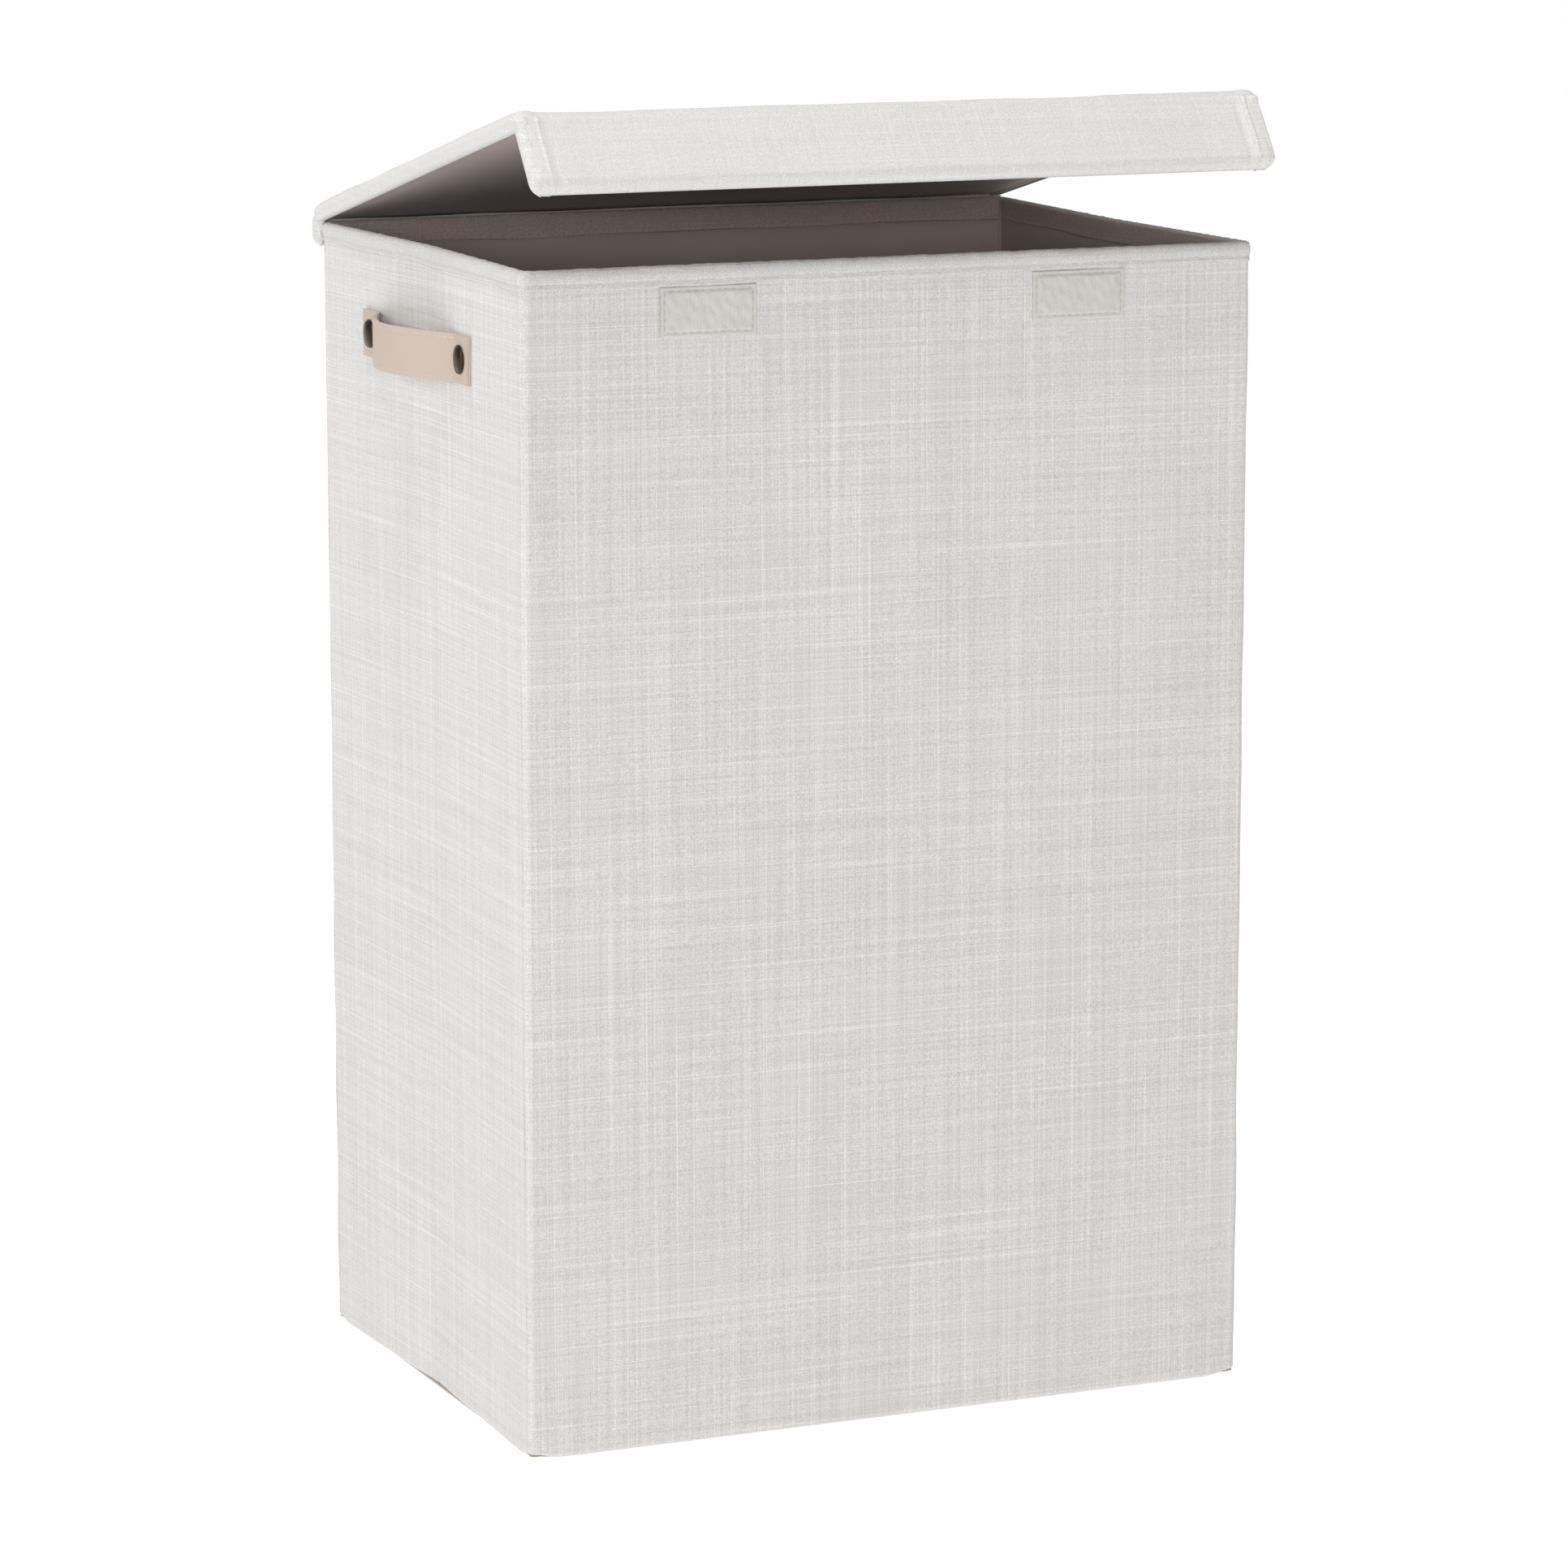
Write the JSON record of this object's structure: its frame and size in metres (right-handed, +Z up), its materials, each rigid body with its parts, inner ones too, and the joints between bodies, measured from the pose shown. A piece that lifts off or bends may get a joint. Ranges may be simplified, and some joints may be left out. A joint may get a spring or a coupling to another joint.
{
  "type": "fabric storage bin",
  "caption": "Tall woven-fabric laundry bin with a hinged lid, front flap with hook and loop closure, side strap handles and side walls that crease inwards to fold flat.",
  "frame": {"origin": "middle of the footprint, on the floor", "axes": "+Z up, +X along the front to the right, +Y to the back; the front wall with the patches faces -Y"},
  "size_m": [0.4404, 0.33, 0.6838],
  "materials": {
    "cover_fabric": "off-white linen-look slub weave",
    "lining_fabric": "smooth taupe lining",
    "facing_fabric": "coarser taupe facing, stitched",
    "greyboard": "pressed greyboard",
    "strap_leather": "beige faux leather, satin",
    "rivet_brass": "dark antique brass",
    "loop_patch": "brushed loop tape",
    "hook_patch": "hook tape"
  },
  "bodies": {
    "back": {"back_cover": "cover_fabric", "back_board": "greyboard", "back_lining": "lining_fabric", "back_rim_facing": "facing_fabric", "back_rim_binding": "cover_fabric", "floor_cover": "cover_fabric", "floor_lining": "lining_fabric", "lid_hinge_band": "cover_fabric"},
    "left_rear": {"left_rear_cover": "cover_fabric", "left_rear_board": "greyboard", "left_rear_lining": "lining_fabric", "left_rear_rim_facing": "facing_fabric", "left_rear_rim_binding": "cover_fabric", "left_rear_rivet": "rivet_brass", "left_rear_washer": "rivet_brass", "left_handle_strap": "strap_leather"},
    "left_front": {"left_front_cover": "cover_fabric", "left_front_board": "greyboard", "left_front_lining": "lining_fabric", "left_front_rim_facing": "facing_fabric", "left_front_rim_binding": "cover_fabric", "left_front_rivet": "rivet_brass", "left_front_washer": "rivet_brass"},
    "right_rear": {"right_rear_cover": "cover_fabric", "right_rear_board": "greyboard", "right_rear_lining": "lining_fabric", "right_rear_rim_facing": "facing_fabric", "right_rear_rim_binding": "cover_fabric", "right_rear_rivet": "rivet_brass", "right_rear_washer": "rivet_brass", "right_handle_strap": "strap_leather"},
    "right_front": {"right_front_cover": "cover_fabric", "right_front_board": "greyboard", "right_front_lining": "lining_fabric", "right_front_rim_facing": "facing_fabric", "right_front_rim_binding": "cover_fabric", "right_front_rivet": "rivet_brass", "right_front_washer": "rivet_brass"},
    "front": {"front_cover": "cover_fabric", "front_board": "greyboard", "front_lining": "lining_fabric", "front_rim_facing": "facing_fabric", "front_rim_binding": "cover_fabric", "left_loop_patch": "loop_patch", "right_loop_patch": "loop_patch"},
    "base_rear": {"base_rear_board": "greyboard", "base_rear_lining": "lining_fabric"},
    "base_front": {"base_front_board": "greyboard", "base_front_lining": "lining_fabric"},
    "lid": {"lid_cover": "cover_fabric", "lid_board": "greyboard", "lid_lining": "lining_fabric"},
    "flap": {"left_hook_patch": "hook_patch", "flap_left_end_band": "cover_fabric", "right_hook_patch": "hook_patch", "flap_right_end_band": "cover_fabric", "flap_cover": "cover_fabric", "flap_board": "greyboard", "flap_lining": "lining_fabric"}
  },
  "joints": [
    {"name": "collapse", "type": "hinge", "parent": "back", "child": "left_rear", "pos_m": [-0.199, 0.1447, 0], "axis": [0, 0, 1], "range_deg": [0, 74]},
    {"name": "right_rear_fold", "type": "hinge", "parent": "back", "child": "right_rear", "pos_m": [0.199, 0.1447, 0], "axis": [0, 0, 1], "range_deg": [-74, 0]},
    {"name": "left_crease_fold", "type": "hinge", "parent": "left_rear", "child": "left_front", "pos_m": [-0.19795, 0, 0], "axis": [0, 0, 1], "range_deg": [-148, 0], "deforming": ["left_handle_strap"]},
    {"name": "right_crease_fold", "type": "hinge", "parent": "right_rear", "child": "right_front", "pos_m": [0.19795, 0, 0], "axis": [0, 0, 1], "range_deg": [0, 148], "deforming": ["right_handle_strap"]},
    {"name": "front_fold", "type": "hinge", "parent": "left_front", "child": "front", "pos_m": [-0.199, -0.1447, 0], "axis": [0, 0, 1], "range_deg": [0, 74]},
    {"name": "base_rear_fold", "type": "hinge", "parent": "back", "child": "base_rear", "pos_m": [0, 0.1415, 0.002], "axis": [-1, 0, 0], "range_deg": [0, 75.48]},
    {"name": "base_ridge_fold", "type": "hinge", "parent": "base_rear", "child": "base_front", "pos_m": [0, 0.0005, 0.002], "axis": [-1, 0, 0], "range_deg": [-150.96, 0]},
    {"name": "lid_hinge", "type": "hinge", "parent": "back", "child": "lid", "pos_m": [0, 0.155, 0.61265], "axis": [-1, 0, 0], "range_deg": [-13, 237]},
    {"name": "flap_hinge", "type": "hinge", "parent": "lid", "child": "flap", "pos_m": [0, -0.14415, 0.67941], "axis": [1, 0, 0], "range_deg": [-66, 24]}
  ],
  "couplings": [
    {"joint": "right_rear_fold", "follows": "collapse", "ratio": -1},
    {"joint": "left_crease_fold", "follows": "collapse", "ratio": -2},
    {"joint": "right_crease_fold", "follows": "collapse", "ratio": 2},
    {"joint": "front_fold", "follows": "collapse", "ratio": 1},
    {"joint": "base_rear_fold", "follows": "collapse", "ratio": 1.02},
    {"joint": "base_ridge_fold", "follows": "collapse", "ratio": -2.04}
  ]
}
